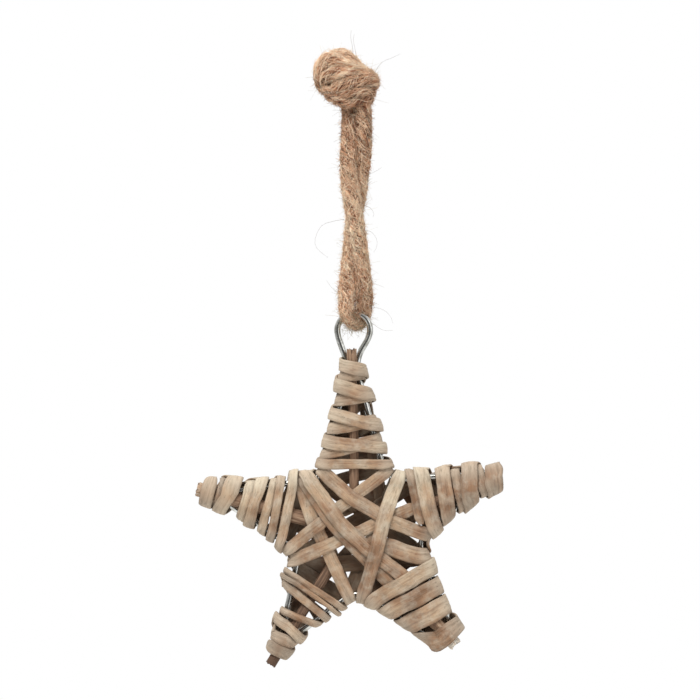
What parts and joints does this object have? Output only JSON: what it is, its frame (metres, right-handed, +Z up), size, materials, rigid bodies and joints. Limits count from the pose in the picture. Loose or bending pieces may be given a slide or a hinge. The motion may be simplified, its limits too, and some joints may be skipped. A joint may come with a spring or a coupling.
{
  "type": "wicker star ornament",
  "caption": "Hanging star of steel wire and peeled sticks wound with split willow strips, on a doubled, knotted jute cord through a wire eye.",
  "frame": {"origin": "in the cord between its two strands, just under the knot, where the ornament hangs", "axes": "+Z up along the cord, +X to the star's right as seen from the front, -Y out of the star's front face"},
  "size_m": [0.1034, 0.0183, 0.2065],
  "materials": {
    "split_willow": "weathered, limewashed split willow, matt",
    "peeled_stick": "dry peeled twig, matt",
    "galvanised_wire": "drawn and galvanised, half gloss",
    "twisted_jute": "twisted jute with loose fibres"
  },
  "bodies": {
    "root": {"centre_strip_1": "split_willow", "centre_strip_2": "split_willow", "centre_strip_3": "split_willow", "centre_strip_4": "split_willow", "centre_strip_5": "split_willow", "centre_strip_6": "split_willow", "centre_strip_7": "split_willow", "centre_strip_8": "split_willow", "top_strip_under": "split_willow", "top_strip_over": "split_willow", "right_strip_under": "split_willow", "right_strip_over": "split_willow", "left_strip_under": "split_willow", "left_strip_over": "split_willow", "lower_left_strip_under": "split_willow", "lower_left_strip_over": "split_willow", "lower_right_strip": "split_willow", "stick_top": "peeled_stick", "stick_right": "peeled_stick", "stick_lower_right": "peeled_stick", "stick_lower_left": "peeled_stick", "stick_left": "peeled_stick", "wire_frame": "galvanised_wire", "hanging_cord": "twisted_jute", "cord_knot": "twisted_jute"}
  },
  "joints": []
}
